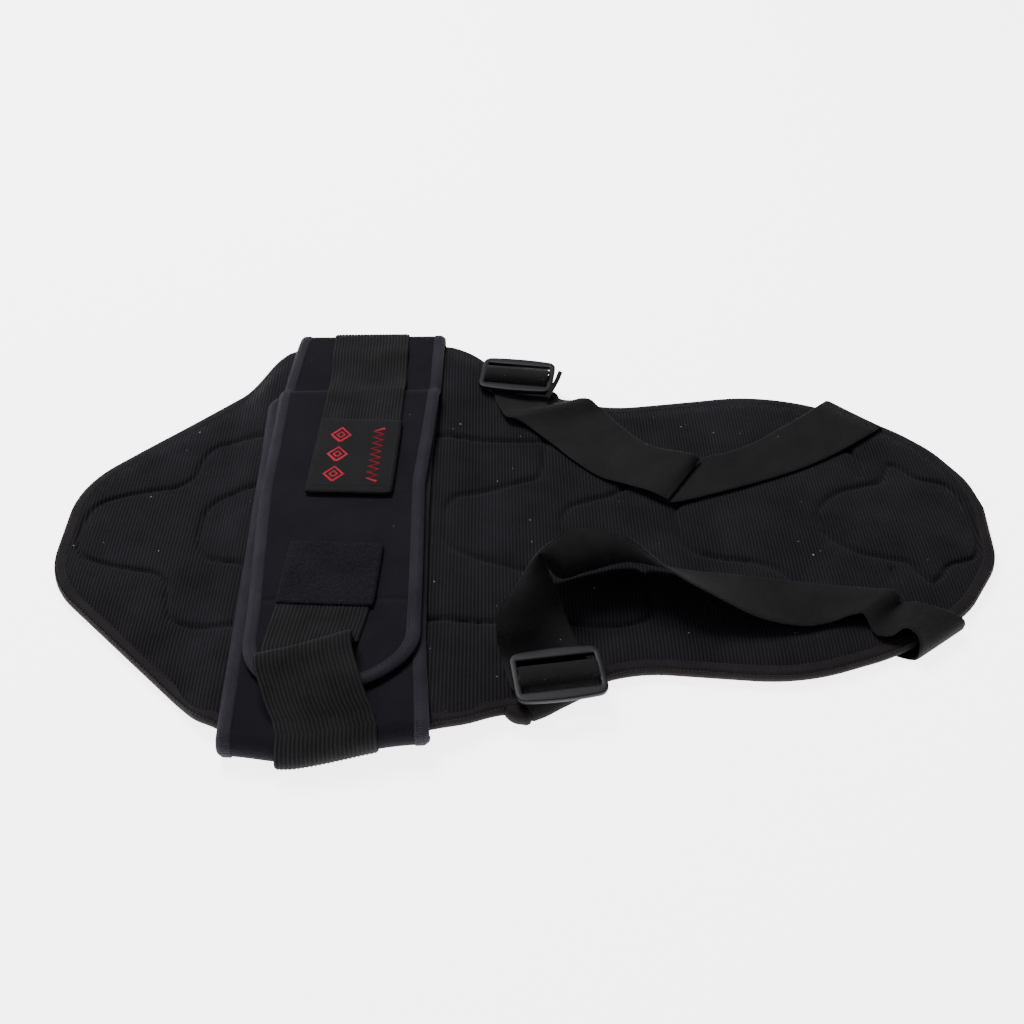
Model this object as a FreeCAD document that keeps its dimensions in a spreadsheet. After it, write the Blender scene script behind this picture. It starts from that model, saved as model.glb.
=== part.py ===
import FreeCAD, Part
import math
import os

V = FreeCAD.Vector

doc = FreeCAD.newDocument("BackBrace")

# ---------------------------------------------------------------- driving sizes, mm
SIZES = [
    ("panel_tail", -164.5),          # tail end of the back panel, from the belt's centre line
    ("panel_top", 375.5),            # shoulder end of the back panel
    ("panel_rest", 2.0),             # underside of the panel above the lying surface
    ("panel_lift", 3.4),             # extra height where the panel lies on the belt
    ("cover_thick", 1.2),
    ("core_thick", 4.6),
    ("lining_thick", 1.2),
    ("layer_gap", 0.2),
    ("binding_thick", 1.0),
    ("seam_gap", 0.6),               # stitched channel round the spine insert
    ("belt_low", 1.6),
    ("belt_thick", 3.6),
    ("belt_left", -54.5),
    ("belt_right", 52.5),
    ("fold_y", 157.5),               # where the belt starts to turn up
    ("wing_low", 13.0),
    ("wing_thick", 3.6),
    ("near_wing_end", 113.0),
    ("far_wing_rise", 5.0),          # step of the far wing over the near wing
    ("far_wing_end", -134.0),
    ("trim_width", 6.0),
    ("trim_thick", 0.6),
    ("elastic_wide", 50.0),
    ("elastic_thick", 1.4),
    ("patch_wide", 52.0),
    ("patch_long", 47.0),
    ("patch_thick", 2.6),
    ("label_wide", 50.0),
    ("label_long", 66.0),
    ("label_thick", 1.6),
    ("hook_thick", 1.0),
    ("strap_wide", 40.0),
    ("strap_thick", 1.4),
    ("slider_long", 48.0),
    ("slider_wide", 31.0),
    ("slider_thick", 3.0),
    ("slider_bar", 4.0),
    ("slider_rim", 4.5),
    ("slider_side", 3.3),
    ("slider_height", 15.9),
]
sheet = doc.addObject("Spreadsheet::Sheet", "Sizes")
for row, (alias, value) in enumerate(SIZES, start=1):
    sheet.set("A%d" % row, alias)
    sheet.set("B%d" % row, str(value))
    sheet.setAlias("B%d" % row, alias)
doc.recompute()


def size(name):
    return float(getattr(sheet, name))


# ---------------------------------------------------------------- helpers
def rounded_wire(corners):
    """Closed wire in the XY plane through (x, y, radius) corners."""
    edges, ends = [], []
    count = len(corners)
    for i, (x, y, radius) in enumerate(corners):
        here = V(x, y, 0)
        back = V(*corners[i - 1][:2], 0) - here
        ahead = V(*corners[(i + 1) % count][:2], 0) - here
        back.normalize()
        ahead.normalize()
        half = back.getAngle(ahead) / 2
        if radius <= 0 or abs(half - math.pi / 2) < 1e-3:
            ends.append((here, here, None))
            continue
        reach = radius / math.tan(half)
        middle = (back + ahead).normalize()
        top = here + middle * (radius / math.sin(half) - radius)
        ends.append((here + back * reach, here + ahead * reach, top))
    for i, (start, stop, top) in enumerate(ends):
        if top is not None:
            edges.append(Part.Arc(start, top, stop).toShape())
        following = ends[(i + 1) % count][0]
        if (following - stop).Length > 1e-6:
            edges.append(Part.makeLine(stop, following))
    return Part.Wire(Part.__sortEdges__(edges))


def mirrored(corners):
    """Half outline from the tail to the top, completed on the other side of the X axis."""
    return corners + [(x, -y, r) for x, y, r in reversed(corners) if y != 0]


def plate(wire, low, high):
    """Upright block between two heights."""
    face = Part.Face(wire)
    face.translate(V(0, 0, low - face.BoundBox.ZMin))
    return face.extrude(V(0, 0, high - low))


def across(points):
    """Block with an XZ profile, running along Y."""
    wire = Part.makePolygon([V(x, -300, z) for x, z in points + points[:1]])
    return Part.Face(wire).extrude(V(0, 600, 0))


def along(points, left, right):
    """Block with a YZ profile, running along X."""
    wire = Part.makePolygon([V(left, y, z) for y, z in points + points[:1]])
    return Part.Face(wire).extrude(V(right - left, 0, 0))


def ribbon(stations, thick):
    """Flat band through pairs of edge points, given its thickness evenly about them."""
    sides = []
    for i, (left, right) in enumerate(stations):
        before = stations[max(i - 1, 0)]
        after = stations[min(i + 1, len(stations) - 1)]
        up_left, up_right = (
            (after[k] - before[k]).normalize().cross(left - right).normalize() * (thick / 2)
            for k in (0, 1))
        sides.append((left + up_left, right + up_right, right - up_right, left - up_left))
    faces = []

    def quad(a, b, c, d):
        for corners in ((a, b, c), (a, c, d)):
            faces.append(Part.Face(Part.makePolygon(list(corners) + [corners[0]])))

    for first, second in zip(sides, sides[1:]):
        for k in (0, 1, 3):
            quad(first[k], first[(k + 1) % 4], second[(k + 1) % 4], second[k])
        quad(second[2], first[2], first[3], second[3])
    quad(*reversed(sides[0]))
    quad(*sides[-1])
    solid = Part.Solid(Part.Shell(faces))
    if solid.Volume < 0:
        solid.reverse()
    return solid


def pairs(rows):
    return [(V(*row[:3]), V(*row[3:])) for row in rows]


def feature(label, shape):
    obj = doc.addObject("Part::Feature", label)
    obj.Label = label
    obj.Shape = shape
    return obj


def box(label, length, width, height, place):
    """Box bound to the sheet, centred in plan on its placement."""
    obj = doc.addObject("Part::Box", label)
    obj.Label = label
    for prop, expression in (("Length", length), ("Width", width), ("Height", height)):
        obj.setExpression(prop, expression)
    doc.recompute()
    shift = FreeCAD.Placement(V(-float(obj.Length) / 2, -float(obj.Width) / 2, 0), FreeCAD.Rotation())
    obj.Placement = place.multiply(shift)
    return obj


def placed(x, y, z, turn=0.0):
    return FreeCAD.Placement(V(x, y, z), FreeCAD.Rotation(V(0, 0, 1), turn))


nodes = []


# ---------------------------------------------------------------- back panel
tail, top = size("panel_tail"), size("panel_top")
panel_half = [
    (tail, 0, 0), (tail, 39, 60), (-45, 157.3, 60), (60, 156.8, 90), (153, 107, 80),
    (268, 122, 120), (335.5, 86, 80), (top, 32, 50), (top, 0, 0),
]
panel_wire = rounded_wire(mirrored(panel_half))

insert_half = [
    (-156, 0, 0), (-156, 12, 9), (-146, 27, 12), (-104, 36, 12), (-92, 77, 10), (170, 77, 8),
    (177, 56, 10), (251, 47, 20), (318, 34, 8), (330, 50, 7), (360, 28, 10), (360, 0, 0),
]
insert_wire = rounded_wire(mirrored(insert_half))


def panel_layer(low, high):
    """Slab that lies on the surface at both ends and is lifted over the belt."""
    lift = size("panel_lift")
    foot, rise = 80, 57
    run = [(-200, 0), (-foot, 0), (-rise, lift), (rise, lift), (foot, 0), (400, 0)]
    under = [(x, z + low) for x, z in run]
    over = [(x, z + high) for x, z in reversed(run)]
    return across(under + over)


gap = size("layer_gap")
cover_low = size("panel_rest")
core_low = cover_low + size("cover_thick") + gap
lining_low = core_low + size("core_thick") + gap
lining_high = lining_low + size("lining_thick")

panel_block = plate(panel_wire, -5, 40)
insert_block = plate(insert_wire, -5, 40)
insert_hole = plate(insert_wire.makeOffset2D(size("seam_gap")), -5, 40)
core_slab = panel_layer(core_low, core_low + size("core_thick"))

nodes.append(feature("panel_cover", panel_block.common(panel_layer(cover_low, core_low - gap))))
nodes.append(feature("panel_core", panel_block.common(core_slab).cut(insert_hole)))
nodes.append(feature("spine_insert", insert_block.common(core_slab)))
nodes.append(feature("panel_lining", panel_block.common(panel_layer(lining_low, lining_high))))

ring = plate(panel_wire.makeOffset2D(gap + size("binding_thick")), -5, 40)
ring = ring.cut(plate(panel_wire.makeOffset2D(gap), -6, 41))
nodes.append(feature("panel_binding", ring.common(panel_layer(cover_low, lining_high))))


# ---------------------------------------------------------------- waist belt
def folded(low, thick, inner, outer_end, start, ends):
    """YZ section of a band that lies flat, then turns up round a fold on one or both sides."""
    middle = low + thick + inner
    flat_from, flat_to = start
    parts = [along([(flat_from, low), (flat_to, low), (flat_to, low + thick), (flat_from, low + thick)],
                   *ends)]
    for side in outer_end:
        centre = V(ends[0], side, middle)
        turn = Part.makeCylinder(inner + thick, ends[1] - ends[0], centre, V(1, 0, 0))
        turn = turn.cut(Part.makeCylinder(inner, ends[1] - ends[0], centre, V(1, 0, 0)))
        reach = math.copysign(40, side)
        half = along([(side, middle - 40), (side + reach, middle - 40), (side + reach, middle + 40),
                      (side, middle + 40)], ends[0] - 1, ends[1] + 1)
        parts.append(turn.common(half))
    solid = parts[0]
    for part in parts[1:]:
        solid = solid.fuse(part)
    return solid.removeSplitter()


fold = size("fold_y")
belt_inner = (size("wing_low") - size("belt_low") - size("belt_thick")) / 2
belt_ends = (size("belt_left"), size("belt_right"))
nodes.append(feature("belt_back", folded(size("belt_low"), size("belt_thick"), belt_inner,
                                         (-fold - 0.6, fold + 0.6), (-fold - 0.6, fold + 0.6), belt_ends)))

low, thick = size("wing_low"), size("wing_thick")
high = low + thick
near_end = size("near_wing_end")
near_outline = rounded_wire([
    (-50, -fold, 0), (belt_ends[1], -fold, 0), (50.5, near_end, 8), (-57, near_end, 8),
])
rise = size("far_wing_rise")
far_under = [(fold, low), (near_end + 7, low), (near_end + 3, low + rise), (-150, low + rise)]
far_over = [(-150, high + rise), (near_end + 1, high + rise), (near_end + 8, high), (fold, high)]
far_end = size("far_wing_end")
far_outline = rounded_wire([
    (-46, fold, 0), (-49.5, 110, 0), (-50.5, 20, 0), (-48, far_end, 38), (46.5, far_end, 38),
    (46, 86, 40), (51.5, 114, 40), (53, fold, 0),
])


def trimmed(outline, slab, raised, keep, root):
    """Edge tape with an L section round three sides of a wing, open on the side of its fold."""
    tape = plate(outline.makeOffset2D(1.2), 0, 40).common(raised)
    inside = plate(outline.makeOffset2D(-size("trim_width")), 0, 40)
    tape = tape.cut(inside.fuse(inside.translated(V(0, 12 * root, 0))))
    tape = tape.cut(plate(outline.makeOffset2D(gap), 0, 40).common(slab))
    return tape.common(keep)


def shifted(points, dz):
    return [(y, z + dz) for y, z in points]


def wing_slab(under, over, above):
    return along(shifted(under, -above) + shifted(over, above), -80, 80)


near_under = [(fold + 5, low), (-fold - 5, low)]
near_over = [(-fold - 5, high), (fold + 5, high)]
near_slab = wing_slab(near_under, near_over, 0)
near_keep = along([(-fold + 2, 0), (150, 0), (150, 40), (-fold + 2, 40)], -80, 80)
near_raised = along(near_under + shifted(near_over, gap + size("trim_thick")), -80, 80)
nodes.append(feature("near_wing", plate(near_outline, 0, 40).common(near_slab)))
nodes.append(feature("near_wing_binding", trimmed(
    near_outline, wing_slab(near_under, near_over, gap), near_raised, near_keep, -1)))

far_slab = wing_slab(far_under, far_over, 0)
far_keep = along([(-150, 0), (fold - 2, 0), (fold - 2, 40), (-150, 40)], -80, 80)
far_raised = along(far_under + shifted(far_over, gap + size("trim_thick")), -80, 80)
nodes.append(feature("far_wing", plate(far_outline, 0, 40).common(far_slab)))
nodes.append(feature("far_wing_binding", trimmed(
    far_outline, wing_slab(far_under, far_over, gap), far_raised, far_keep, 1)))
nodes.append(box("far_wing_hook", "Sizes.patch_wide", "Sizes.patch_wide", "Sizes.hook_thick",
                 placed(-2, -92, high + gap)))


# ---------------------------------------------------------------- pull straps
elastic = size("elastic_thick")
elastic_inner = belt_inner + size("belt_thick") + gap
half_wide = size("elastic_wide") / 2
nodes.append(feature("near_back_elastic", folded(0, elastic, elastic_inner, (-fold - 1.0,),
                                                 (-fold - 1.0, 10.0), (3 - half_wide, 3 + half_wide))))
nodes.append(feature("far_back_elastic", folded(0, elastic, elastic_inner, (fold + 1.0,),
                                                (10.6, fold + 1.0), (4.8 - half_wide, 4.8 + half_wide))))

# pleat of the near strap: tail-side edge, then shoulder-side edge
nodes.append(feature("near_strap", ribbon(pairs([
    (-21.5, -157.6, 17.5, 28.0, -157.6, 17.5),
    (-24.0, -151.0, 18.2, 25.5, -151.0, 18.2),
    (-28.5, -141.0, 27.0, 21.0, -140.0, 26.0),
    (-33.0, -126.0, 33.5, 16.5, -115.0, 32.5),
    (-34.5, -122.5, 36.0, 14.5, -109.0, 36.0),
    (-35.0, -119.5, 37.0, 14.0, -106.0, 37.0),
    (-35.5, -117.0, 35.0, 13.5, -103.5, 35.0),
    (-35.5, -116.5, 27.0, 14.0, -106.0, 27.0),
    (-34.8, -111.0, 23.2, 15.0, -106.5, 23.2),
    (-31.0, -77.5, 22.6, 19.0, -80.0, 22.6),
]), elastic)))
far_top = high + rise + gap
nodes.append(box("near_strap_patch", "Sizes.patch_wide", "Sizes.patch_long", "Sizes.patch_thick",
                 placed(-3.3, -52.5, far_top, -3.5)))

nodes.append(feature("far_strap", ribbon(pairs([
    (-20.0, 155.0, 17.5, 29.5, 155.0, 17.5),
    (-19.5, 125.0, 17.5, 29.5, 125.0, 17.5),
    (-19.5, 114.5, 22.8, 29.5, 114.5, 22.8),
    (-21.0, 80.0, 22.6, 28.5, 80.0, 22.6),
]), elastic)))
nodes.append(box("far_strap_hook", "Sizes.label_wide - 6", "Sizes.label_long - 6", "Sizes.hook_thick",
                 placed(2.4, 45, far_top, -2.6)))
nodes.append(box("far_strap_label", "Sizes.label_wide", "Sizes.label_long", "Sizes.label_thick",
                 placed(2.4, 45, far_top + size("hook_thick") + gap, -2.6)))


# ---------------------------------------------------------------- shoulder straps
strap = size("strap_thick")
near_route = pairs([
    (101.0, -152.5, 2.7, 141.0, -143.5, 2.7),
    (100.5, -145.0, 7.0, 140.5, -136.0, 6.0),
    (99.5, -140.0, 11.1, 139.0, -127.0, 11.1),
    (94.0, -107.0, 11.2, 133.5, -101.5, 11.2),
    (89.5, -101.5, 16.0, 128.0, -95.0, 14.0),
    (89.0, -95.0, 31.0, 122.0, -80.0, 25.0),
    (96.5, -86.5, 43.0, 115.0, -56.0, 28.0),
    (109.5, -65.0, 50.0, 111.0, -42.0, 22.0),
    (124.0, -53.0, 54.0, 122.0, -37.0, 15.5),
    (136.0, -50.5, 53.0, 140.0, -38.0, 13.5),
    (158.0, -52.0, 46.5, 164.0, -37.0, 12.5),
    (175.0, -66.0, 40.0, 187.0, -42.0, 12.0),
    (190.0, -75.0, 35.0, 203.0, -45.0, 12.0),
    (208.0, -80.0, 27.0, 220.0, -47.0, 12.0),
    (227.0, -85.0, 19.0, 237.0, -50.0, 11.5),
    (247.0, -88.0, 12.0, 257.0, -54.0, 11.5),
    (278.0, -90.0, 11.0, 288.0, -61.0, 11.0),
    (301.0, -104.0, 10.8, 333.5, -80.5, 10.8),
])
far_route = pairs([
    (88.0, 160.5, 2.7, 128.0, 151.5, 2.7),
    (87.5, 155.0, 7.0, 127.0, 145.5, 6.0),
    (87.0, 150.5, 11.1, 126.0, 139.0, 11.1),
    (83.0, 121.0, 11.2, 123.0, 117.0, 11.2),
    (87.0, 105.0, 11.2, 134.0, 108.0, 13.0),
    (97.0, 91.0, 11.0, 146.0, 107.0, 13.0),
    (117.0, 76.0, 11.0, 158.0, 101.0, 12.0),
    (132.0, 56.0, 11.0, 167.0, 86.0, 12.0),
    (156.0, 32.0, 11.0, 178.0, 69.0, 12.0),
    (171.0, 25.0, 11.0, 195.0, 57.0, 13.0),
    (190.0, 15.0, 11.5, 210.0, 53.0, 13.5),
    (214.0, 21.0, 11.0, 227.0, 58.0, 12.0),
    (243.0, 31.0, 11.0, 246.0, 66.0, 11.5),
    (272.0, 43.0, 11.0, 266.0, 82.0, 11.2),
    (299.0, 59.0, 11.0, 288.0, 99.0, 11.0),
    (328.5, 80.5, 10.8, 299.0, 108.5, 10.8),
])

panel_edge = panel_wire.makeOffset2D(gap + size("binding_thick")).discretize(Number=720)


def upper_anchor(label, corner_a, corner_b, side):
    """Sewn end of a shoulder strap: under the panel, up its edge, and a lip on top of it."""
    run = (corner_b - corner_a).normalize()
    out = V(run.y, -run.x, 0) * side
    middle = (corner_a + corner_b) * 0.5
    half = size("strap_wide") / 2
    bulge = max((p - middle).dot(out) for p in panel_edge if abs((p - middle).dot(run)) < half + 2)
    wall = bulge + 0.5
    lip = 0.8
    outer = [(-32, 0), (wall + strap, 0), (wall + strap, 10.1 + strap), (lip, 10.1 + strap),
             (lip, 10.1), (wall, 10.1), (wall, strap), (-32, strap)]
    wire = Part.makePolygon([middle - run * half + out * u + V(0, 0, z) for u, z in outer + outer[:1]])
    return feature(label, Part.Face(wire).extrude(run * size("strap_wide")))


def lower_anchor(label, outer_left, outer_right, length, side):
    """Sewn end of a shoulder strap that comes out flat under the panel below the slider."""
    inward = V(-0.13 if side < 0 else -0.12, -0.99 * side, 0) * length
    corners = [outer_left, outer_right, outer_right + inward, outer_left + inward]
    return feature(label, plate(Part.makePolygon(corners + corners[:1]), 0, strap))


def slider(label, place):
    """Tri-glide frame: a rounded plate with two slots either side of a middle bar."""
    frame_box = doc.addObject("Part::Box", label + "_blank")
    for prop, expression in (("Length", "slider_long"), ("Width", "slider_wide"), ("Height", "slider_thick")):
        frame_box.setExpression(prop, "Sizes." + expression)
    doc.recompute()
    corners = [i + 1 for i, e in enumerate(frame_box.Shape.Edges)
               if abs(e.BoundBox.ZLength - size("slider_thick")) < 1e-6]
    blank = doc.addObject("Part::Fillet", label + "_rounded")
    blank.Base = frame_box
    blank.Edges = [(i, 5.0, 5.0) for i in corners]
    slots = []
    for k, start in enumerate(("slider_rim", "(slider_wide + slider_bar) / 2")):
        slot = doc.addObject("Part::Box", "%s_slot_%d" % (label, k + 1))
        start = start.replace("slider", "Sizes.slider")
        slot.setExpression("Length", "Sizes.slider_long - 2 * Sizes.slider_side")
        slot.setExpression("Width", "(Sizes.slider_wide - Sizes.slider_bar) / 2 - Sizes.slider_rim")
        slot.setExpression("Height", "Sizes.slider_thick + 2")
        slot.setExpression("Placement.Base.x", "Sizes.slider_side")
        slot.setExpression("Placement.Base.y", start)
        slot.setExpression("Placement.Base.z", "-1")
        slots.append(slot)
    openings = doc.addObject("Part::MultiFuse", label + "_slots")
    openings.Shapes = slots
    cut = doc.addObject("Part::Cut", label)
    cut.Label = label
    cut.Base, cut.Tool = blank, openings
    doc.recompute()
    centre = V(size("slider_long") / 2, size("slider_wide") / 2, size("slider_thick") / 2)
    cut.Placement = place.multiply(FreeCAD.Placement(centre * -1, FreeCAD.Rotation()))
    return cut


def slider_loop(label, place):
    """Strap bent over the middle bar, with a leg through each slot."""
    route = [(-8.0, -2.7), (-5.6, 0.6), (-3.4, 3.0), (0.0, 4.0), (3.4, 3.0), (5.6, 0.6), (8.0, -2.7)]
    half = size("strap_wide") / 2
    stations = [(V(-half, y, z), V(half, y, z)) for y, z in route]
    obj = feature(label, ribbon(stations, strap))
    obj.Placement = place
    return obj


near_slide = placed(118, -119, size("slider_height"), 7.5)
far_slide = placed(105, 136, size("slider_height"), -7.0)

nodes.append(feature("near_shoulder_strap", ribbon(near_route, strap)))
nodes.append(upper_anchor("near_upper_anchor", V(303, -105.8, 0), V(335.5, -82.3, 0), 1))
nodes.append(lower_anchor("near_lower_anchor", V(101, -149.5, 0), V(140.6, -140.5, 0), 52, -1))
nodes.append(slider("near_slider", near_slide))
nodes.append(slider_loop("near_slider_loop", near_slide))
nodes.append(feature("far_shoulder_strap", ribbon(far_route, strap)))
nodes.append(upper_anchor("far_upper_anchor", V(300.4, 110.1, 0), V(329.9, 82.1, 0), -1))
nodes.append(lower_anchor("far_lower_anchor", V(88, 157.5, 0), V(127.6, 148.5, 0), 52, 1))
nodes.append(slider("far_slider", far_slide))
nodes.append(slider_loop("far_slider_loop", far_slide))

doc.recompute()

# ---------------------------------------------------------------- checks and export
for obj in doc.Objects:
    if "Invalid" in obj.State or "Error" in obj.State:
        raise RuntimeError("%s is not computed: %s" % (obj.Label, obj.State))
os.makedirs("parts", exist_ok=True)
for obj in nodes:
    shape = obj.Shape
    if shape.isNull() or not shape.isValid() or len(shape.Solids) != 1:
        raise RuntimeError("%s is not one valid solid" % obj.Label)
    shape.exportStep("parts/%s.step" % obj.Label)
    b = shape.BoundBox
    print("%-22s %7.0f mm3  x %.1f %.1f  y %.1f %.1f  z %.1f %.1f" % (
        obj.Label, shape.Volume, b.XMin, b.XMax, b.YMin, b.YMax, b.ZMin, b.ZMax))
print(len(nodes), "nodes")
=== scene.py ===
import math

import bmesh
import bpy
import numpy as np
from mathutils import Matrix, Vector, noise


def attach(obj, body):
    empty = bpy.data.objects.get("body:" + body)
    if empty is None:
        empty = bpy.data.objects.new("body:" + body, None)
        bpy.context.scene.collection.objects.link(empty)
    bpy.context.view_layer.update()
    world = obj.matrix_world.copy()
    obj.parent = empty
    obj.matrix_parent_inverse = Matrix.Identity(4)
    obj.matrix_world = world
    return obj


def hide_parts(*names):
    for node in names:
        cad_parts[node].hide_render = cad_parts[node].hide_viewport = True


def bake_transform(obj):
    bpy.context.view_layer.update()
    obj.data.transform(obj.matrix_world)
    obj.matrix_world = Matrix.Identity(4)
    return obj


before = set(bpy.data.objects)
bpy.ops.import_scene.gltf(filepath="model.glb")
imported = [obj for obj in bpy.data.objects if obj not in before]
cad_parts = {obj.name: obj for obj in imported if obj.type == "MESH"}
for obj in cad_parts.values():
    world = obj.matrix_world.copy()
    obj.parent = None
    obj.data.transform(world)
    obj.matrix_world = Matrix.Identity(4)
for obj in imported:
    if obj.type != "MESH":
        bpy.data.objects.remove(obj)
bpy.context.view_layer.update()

MM = 0.001
ROOT = "back_panel_and_belt"
PANEL_TOP = 9.4          # skin side of the panel above the lying surface, mm
PANEL_UNDER = 2.0        # its underside
PANEL_LIFT = 3.4         # extra height over the belt
BELT_THICK = 3.6
BELT_UNDER = 1.6         # clearance of the belt's back above the lying surface
BELT_EDGE = BELT_THICK / 2 * 0.6         # half thickness of the belt where its edge is pressed flat
WING_MID = 14.8          # middle of a wing that lies on the panel
WING_RISE = 5.0          # step of the far wing over the near wing
FOLD_Y = 157.5           # where the belt starts to turn up, either side
U_TURN = (BELT_UNDER + BELT_THICK / 2 + WING_MID) / 2          # height of the folds' centre
U_RADIUS = (WING_MID - BELT_UNDER - BELT_THICK / 2) / 2
TAPE_WIDE = 6.5          # how far an edge tape reaches in over the cloth
ELASTIC = 1.4            # thickness, width and ribs of the pull straps' elastic
ELASTIC_WIDE = 50.0
ELASTIC_RIBS = 24
ELASTIC_RADIUS = U_RADIUS + BELT_THICK / 2 + 0.2 + ELASTIC / 2
SHOULDER_ELASTIC = 1.3   # thickness
EDGE_STEPS = [0.012, 0.03, 0.97, 0.988]  # extra columns where a band's edges roll over
UP = np.array([0.0, 0.0, 1.0])


# ------------------------------------------------------------------ curves
def unit(v):
    return v / np.maximum(np.linalg.norm(v, axis=-1, keepdims=True), 1e-9)


def smooth(t):
    t = np.clip(t, 0, 1)
    return t * t * (3 - 2 * t)


def between(v, low, rise, high, fall):
    """Rises to 1 from low on, and falls back to 0 from high on."""
    return smooth((v - low) / rise) * (1 - smooth((v - high) / fall))


def signed_power(v, power):
    return np.sign(v) * np.abs(v) ** power


def across(count):
    """Places across a band from edge to edge, as one row."""
    return np.sort(np.concatenate([np.linspace(0, 1, count), EDGE_STEPS]))[None, :, None]


def turned(points, centre, turn):
    """Points turned in plan by some degrees and moved to a centre."""
    cos, sin = math.cos(math.radians(turn)), math.sin(math.radians(turn))
    points = np.asarray(points, float)
    return np.stack([centre[0] + points[..., 0] * cos - points[..., 1] * sin,
                     centre[1] + points[..., 0] * sin + points[..., 1] * cos,
                     centre[2] + points[..., 2]], -1)


def rounded(corners, step=2.0):
    """Polyline through (x, y, radius) corners, with an arc at each inner one."""
    points = [np.array(corners[0][:2], float)]
    for before, (x, y, radius), after in zip(corners, corners[1:], corners[2:]):
        here = np.array([x, y], float)
        if radius <= 0:
            points.append(here)
            continue
        a, b = unit(np.array(before[:2]) - here), unit(np.array(after[:2]) - here)
        half = math.acos(np.clip(a @ b, -1, 1)) / 2
        centre = here + unit(a + b) * radius / math.sin(half)
        start, stop = here + a * radius / math.tan(half), here + b * radius / math.tan(half)
        first = math.atan2(*(start - centre)[::-1])
        turn = (math.atan2(*(stop - centre)[::-1]) - first + math.pi) % (2 * math.pi) - math.pi
        count = max(3, int(abs(turn) * radius / step))
        for k in range(count + 1):
            angle = first + turn * k / count
            points.append(centre + radius * np.array([math.cos(angle), math.sin(angle)]))
    points.append(np.array(corners[-1][:2], float))
    return np.array(points)


def lengths(points):
    return np.concatenate([[0], np.cumsum(np.linalg.norm(np.diff(points, axis=0), axis=1))])


def resample(points, count):
    along = lengths(points)
    at = np.linspace(0, along[-1], count)
    return np.stack([np.interp(at, along, points[:, k]) for k in range(points.shape[1])], 1)


def flow(rows, spacing):
    """Smooth curve through rows of numbers, evenly spaced by the middle of its edge points."""
    rows = np.array(rows, float)
    middle = rows.reshape(len(rows), -1, 3).mean(1) if rows.shape[1] % 3 == 0 else rows
    along = lengths(middle)
    slope = np.gradient(rows, along, axis=0)
    at = np.linspace(0, along[-1], max(3, int(along[-1] / spacing) + 1))
    seg = np.clip(np.searchsorted(along, at, side="right") - 1, 0, len(rows) - 2)
    span = (along[seg + 1] - along[seg])[:, None]
    t = (at[:, None] - along[seg][:, None]) / span
    return ((2 * t**3 - 3 * t**2 + 1) * rows[seg] + (t**3 - 2 * t**2 + t) * span * slope[seg]
            + (3 * t**2 - 2 * t**3) * rows[seg + 1] + (t**3 - t**2) * span * slope[seg + 1])


def from_line(points, line):
    """Distance in the plane from each point to a polyline."""
    best = np.full(len(points), 1e9)
    for a, b in zip(line, line[1:]):
        run = b - a
        t = np.clip((points - a) @ run / max(run @ run, 1e-9), 0, 1)
        best = np.minimum(best, np.linalg.norm(points - a - t[:, None] * run, axis=1))
    return best


def ripple(points, scale, seed):
    """Gentle unevenness from -1 to 1 for each point, features about scale mm across."""
    flat = points.reshape(-1, points.shape[-1])
    shift = Vector((seed * 17.3, seed * 5.1, seed * 9.7))
    values = [noise.noise(Vector((*p[:3],) if len(p) > 2 else (*p, 0)) / scale + shift) for p in flat]
    return np.array(values).reshape(points.shape[:-1])


def fold_over(points, side):
    """Bend what lies flat beyond a belt fold (side -1 near, 1 far) round under it."""
    x, y, z = points.T
    past = np.maximum(side * y - FOLD_Y, 0)
    radius = U_RADIUS + z - WING_MID
    bent_y = side * (FOLD_Y + radius * np.sin(past / U_RADIUS))
    bent_z = U_TURN + radius * np.cos(past / U_RADIUS)
    return np.stack([x, np.where(past > 0, bent_y, y), np.where(past > 0, bent_z, z)], 1)


def settle(points):
    """How the worn object lies: the belt's near right corner is pushed in, its far fold stands up."""
    x, y = points[:, 0], points[:, 1]
    near = between(x, -20, 70, 75, 40) * smooth((-y - 70) / 80)
    far = between(x, -78, 30, 70, 40) * smooth((y - 60) / 90)
    corner = between(x, -70, 16, -50, 40) * smooth((-y - 110) / 45)
    brow = between(x, -78, 30, 70, 40) * smooth((y - 105) / 52)
    return points + np.stack([0 * x, 7 * near + 6 * far + 4.4 * corner + 2.5 * brow,
                              4 * near + 5 * far + 2.5 * brow], 1)


# ------------------------------------------------------------------ meshes
def make(name, verts, faces, material, weave=None, rigid=False, turn=0):
    """Object from points and cloth coordinates in mm; turn is the belt fold it goes round, if any."""
    mesh = bpy.data.meshes.new(name)
    verts = np.asarray(verts, float)
    if turn:
        verts = fold_over(verts, turn)
    if not rigid:
        verts = settle(verts)
    mesh.from_pydata((verts * MM).tolist(), [], [tuple(map(int, face)) for face in faces])
    if weave is not None:
        attribute = mesh.attributes.new("weave", "FLOAT_VECTOR", "POINT")
        attribute.data.foreach_set("vector", (np.asarray(weave) * MM).astype(np.float32).ravel())
    work = bmesh.new()
    work.from_mesh(mesh)
    bmesh.ops.recalc_face_normals(work, faces=work.faces)
    work.to_mesh(mesh)
    work.free()
    mesh.polygons.foreach_set("use_smooth", [True] * len(mesh.polygons))
    mesh.set_sharp_from_angle(angle=math.radians(62))
    mesh.materials.append(material)
    obj = bpy.data.objects.new(name, mesh)
    bpy.context.scene.collection.objects.link(obj)
    return obj


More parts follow.
